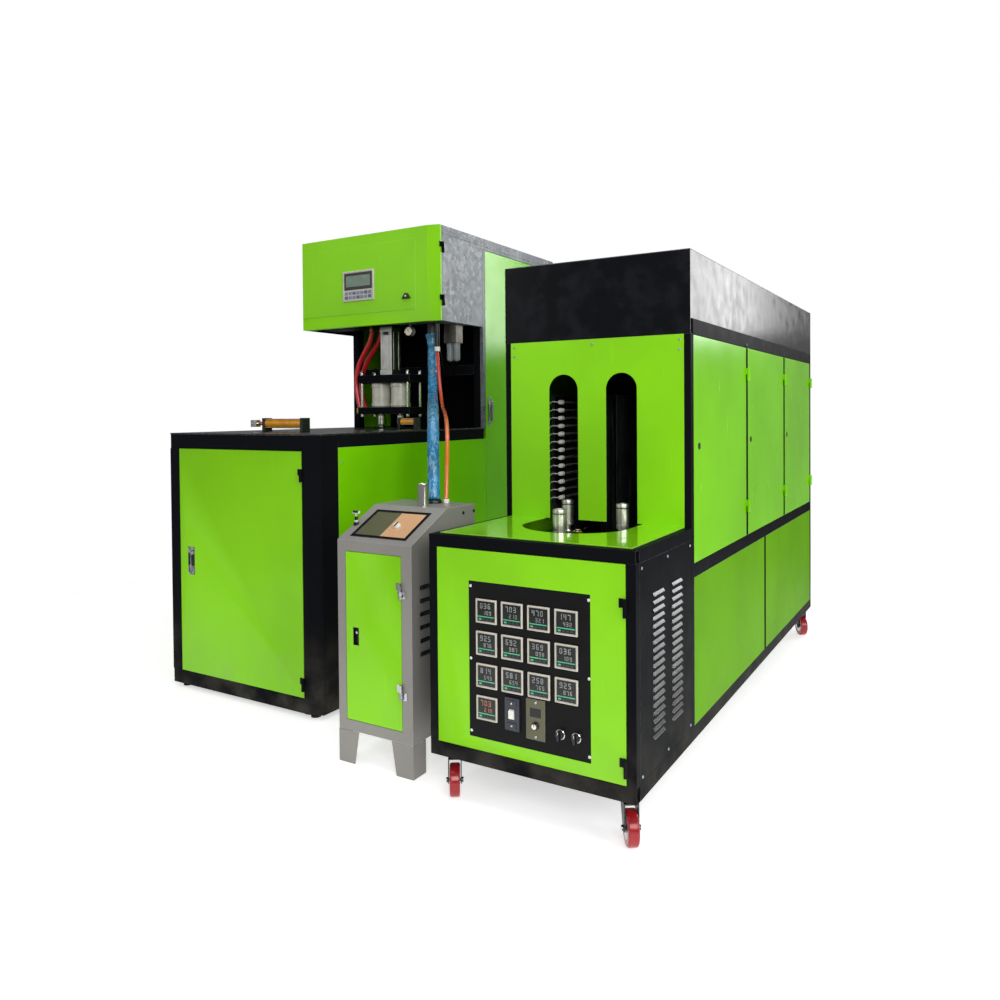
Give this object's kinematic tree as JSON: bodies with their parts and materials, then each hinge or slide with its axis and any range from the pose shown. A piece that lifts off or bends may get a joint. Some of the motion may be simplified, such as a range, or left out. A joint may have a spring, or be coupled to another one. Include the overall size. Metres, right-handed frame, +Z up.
{
  "type": "blow moulding machine",
  "caption": "Two-cavity stretch blow moulding set: a lamp oven with a preform chain, a blow press and a small air cabinet joined by hoses.",
  "frame": {"origin": "middle of the footprint of the whole set, on the floor", "axes": "+X to the right seen from the front, +Y to the back, +Z up"},
  "size_m": [2.281, 2.5585, 2.083],
  "materials": {
    "green_paint": "gloss powder coat",
    "olive_paint": "satin paint",
    "black_paint": "satin powder coat",
    "grey_paint": "satin powder coat",
    "bare_steel": "galvanised and machined",
    "bright_steel": "polished",
    "aluminium": "satin",
    "black_plastic": "satin",
    "black_iron": "oiled",
    "bezel_plastic": "satin",
    "white_plastic": "gloss",
    "amber_plastic": "tinted clear",
    "lamp_glass": "clear quartz",
    "red_wheel": "tinted cast polyurethane",
    "blue_hose": "ribbed rubber in clear wrap",
    "red_hose": "gloss tube"
  },
  "bodies": {
    "machine": {"oven_frame": "black_paint", "oven_panels": "green_paint", "oven_black_panels": "black_paint", "oven_table_plate": "green_paint", "oven_arch_panel": "green_paint", "oven_hood": "black_paint", "conveyor_chain": "black_iron", "preform_holders": "bright_steel", "conveyor_track": "bare_steel", "drive_motor": "aluminium", "lamp_reflectors": "bare_steel", "heating_lamps": "lamp_glass", "press_frame": "black_paint", "press_panels": "green_paint", "press_table": "black_paint", "head_shell": "bare_steel", "seal_frame": "aluminium", "air_cylinders": "aluminium", "amber_cylinders": "amber_plastic", "air_manifold": "bare_steel", "mould_guides": "black_iron", "air_cabinet_shell": "grey_paint", "air_panels": "olive_paint", "air_fittings": "bright_steel", "hinge_seats": "green_paint", "blue_hose": "blue_hose", "red_hose": "red_hose", "seal_hose_front": "red_hose", "seal_hose_back": "red_hose"},
    "control_door": {"control_door": "green_paint", "control_panel": "black_plastic", "panel_instruments": "bezel_plastic"},
    "head_door": {"head_door": "green_paint", "head_display": "bezel_plastic"},
    "air_door": {"air_door": "green_paint"},
    "air_panel_knob": {"air_panel_knob": "white_plastic"},
    "breaker_rocker": {"breaker_rocker": "white_plastic"},
    "caster_fork_front_left": {"caster_fork_front_left": "black_iron"},
    "caster_fork_front_right": {"caster_fork_front_right": "black_iron"},
    "caster_fork_rear_left": {"caster_fork_rear_left": "black_iron"},
    "caster_fork_rear_right": {"caster_fork_rear_right": "black_iron"},
    "caster_wheel_front_left": {"caster_wheel_front_left": "red_wheel"},
    "caster_wheel_front_right": {"caster_wheel_front_right": "red_wheel"},
    "caster_wheel_rear_left": {"caster_wheel_rear_left": "red_wheel"},
    "caster_wheel_rear_right": {"caster_wheel_rear_right": "red_wheel"},
    "column_door": {"column_door": "green_paint"},
    "front_turn_wheel": {"front_turn_wheel": "bright_steel"},
    "head_lock_knob": {"head_lock_knob": "black_plastic"},
    "left_knob": {"left_knob": "black_plastic"},
    "mould_half_front": {"mould_half_front": "aluminium"},
    "mould_half_rear": {"mould_half_rear": "aluminium"},
    "press_base_door": {"press_base_door": "green_paint"},
    "rear_turn_wheel": {"rear_turn_wheel": "bright_steel"},
    "right_knob": {"right_knob": "black_plastic"},
    "seal_nozzles": {"seal_nozzles": "bright_steel"},
    "side_door_front": {"side_door_front": "green_paint"},
    "side_door_middle": {"side_door_middle": "green_paint"},
    "side_door_rear": {"side_door_rear": "green_paint"},
    "table_cylinder_rod": {"table_cylinder_rod": "bright_steel"},
    "valve_handle": {"valve_handle": "bright_steel"}
  },
  "joints": [
    {"name": "control_door_hinge", "type": "hinge", "parent": "machine", "child": "control_door", "pos_m": [1.105, -1.277, 0.45], "axis": [0, 0, 1], "range_deg": [0, 110]},
    {"name": "side_door_front_hinge", "type": "hinge", "parent": "machine", "child": "side_door_front", "pos_m": [1.141, -0.086, 1.07], "axis": [0, 0, 1], "range_deg": [0, 90]},
    {"name": "side_door_middle_hinge", "type": "hinge", "parent": "machine", "child": "side_door_middle", "pos_m": [1.141, 0.5985, 1.07], "axis": [0, 0, 1], "range_deg": [0, 90]},
    {"name": "side_door_rear_hinge", "type": "hinge", "parent": "machine", "child": "side_door_rear", "pos_m": [1.141, 1.2355, 1.07], "axis": [0, 0, 1], "range_deg": [0, 90]},
    {"name": "press_base_door_hinge", "type": "hinge", "parent": "machine", "child": "press_base_door", "pos_m": [-0.349, -1.009, 0.55], "axis": [0, 0, 1], "range_deg": [0, 110]},
    {"name": "column_door_hinge", "type": "hinge", "parent": "machine", "child": "column_door", "pos_m": [-0.261, 0.9915, 1.05], "axis": [0, 0, 1], "range_deg": [0, 60]},
    {"name": "head_door_hinge", "type": "hinge", "parent": "machine", "child": "head_door", "pos_m": [-0.261, -0.151, 1.85], "axis": [0, 0, 1], "range_deg": [0, 100]},
    {"name": "head_lock_turn", "type": "hinge", "parent": "head_door", "child": "head_lock_knob", "pos_m": [-0.451, -0.183, 1.757], "axis": [0, 1, 0], "range_deg": [0, 90]},
    {"name": "air_door_hinge", "type": "hinge", "parent": "machine", "child": "air_door", "pos_m": [0.301, -1.223, 0.45], "axis": [0, 0, 1], "range_deg": [0, 110]},
    {"name": "air_panel_knob_turn", "type": "hinge", "parent": "machine", "child": "air_panel_knob", "pos_m": [0.216, -1.12638, 0.80937], "axis": [0, -0.4437, 0.8962], "range_deg": [0, 270]},
    {"name": "valve_turn", "type": "hinge", "parent": "machine", "child": "valve_handle", "pos_m": [0.04, -1.132, 0.83], "axis": [0, 0, 1], "range_deg": [0, 90]},
    {"name": "breaker_rock", "type": "hinge", "parent": "control_door", "child": "breaker_rocker", "pos_m": [0.75, -1.2725, 0.312], "axis": [1, 0, 0], "range_deg": [-10, 10]},
    {"name": "left_knob_turn", "type": "hinge", "parent": "control_door", "child": "left_knob", "pos_m": [0.905, -1.275, 0.282], "axis": [0, -1, 0], "range_deg": [0, 270]},
    {"name": "right_knob_turn", "type": "hinge", "parent": "control_door", "child": "right_knob", "pos_m": [0.955, -1.275, 0.282], "axis": [0, -1, 0], "range_deg": [0, 270]},
    {"name": "front_wheel_turn", "type": "hinge", "parent": "machine", "child": "front_turn_wheel", "pos_m": [0.791, -0.91, 0.762], "axis": [0, 0, 1], "continuous": true},
    {"name": "rear_wheel_turn", "type": "hinge", "parent": "machine", "child": "rear_turn_wheel", "pos_m": [0.791, 1.03, 0.762], "axis": [0, 0, 1], "continuous": true},
    {"name": "swivel_front_left", "type": "hinge", "parent": "machine", "child": "caster_fork_front_left", "pos_m": [0.502, -1.208, 0.11], "axis": [0, 0, 1], "continuous": true},
    {"name": "roll_front_left", "type": "hinge", "parent": "caster_fork_front_left", "child": "caster_wheel_front_left", "pos_m": [0.51725, -1.23148, 0.05], "axis": [0.8386, 0.5447, 0], "continuous": true},
    {"name": "swivel_front_right", "type": "hinge", "parent": "machine", "child": "caster_fork_front_right", "pos_m": [1.086, -1.208, 0.11], "axis": [0, 0, 1], "continuous": true},
    {"name": "roll_front_right", "type": "hinge", "parent": "caster_fork_front_right", "child": "caster_wheel_front_right", "pos_m": [1.10125, -1.23148, 0.05], "axis": [0.8386, 0.5447, 0], "continuous": true},
    {"name": "swivel_rear_left", "type": "hinge", "parent": "machine", "child": "caster_fork_rear_left", "pos_m": [0.502, 1.208, 0.11], "axis": [0, 0, 1], "continuous": true},
    {"name": "roll_rear_left", "type": "hinge", "parent": "caster_fork_rear_left", "child": "caster_wheel_rear_left", "pos_m": [0.51725, 1.18452, 0.05], "axis": [0.8386, 0.5447, 0], "continuous": true},
    {"name": "swivel_rear_right", "type": "hinge", "parent": "machine", "child": "caster_fork_rear_right", "pos_m": [1.086, 1.208, 0.11], "axis": [0, 0, 1], "continuous": true},
    {"name": "roll_rear_right", "type": "hinge", "parent": "caster_fork_rear_right", "child": "caster_wheel_rear_right", "pos_m": [1.10125, 1.18452, 0.05], "axis": [0.8386, 0.5447, 0], "continuous": true},
    {"name": "nozzle_stroke", "type": "slide", "parent": "machine", "child": "seal_nozzles", "axis": [0, 0, -1], "range_m": [0, 0.04]},
    {"name": "table_rod_stroke", "type": "slide", "parent": "machine", "child": "table_cylinder_rod", "axis": [-1, 0, 0], "range_m": [0, 0.05]},
    {"name": "mould_front_stroke", "type": "slide", "parent": "machine", "child": "mould_half_front", "axis": [0, 1, 0], "range_m": [0, 0.0997]},
    {"name": "mould_rear_stroke", "type": "slide", "parent": "machine", "child": "mould_half_rear", "axis": [0, -1, 0], "range_m": [0, 0.0997]}
  ],
  "couplings": [
    {"joint": "rear_wheel_turn", "follows": "front_wheel_turn", "ratio": 1},
    {"joint": "mould_rear_stroke", "follows": "mould_front_stroke", "ratio": 1}
  ]
}
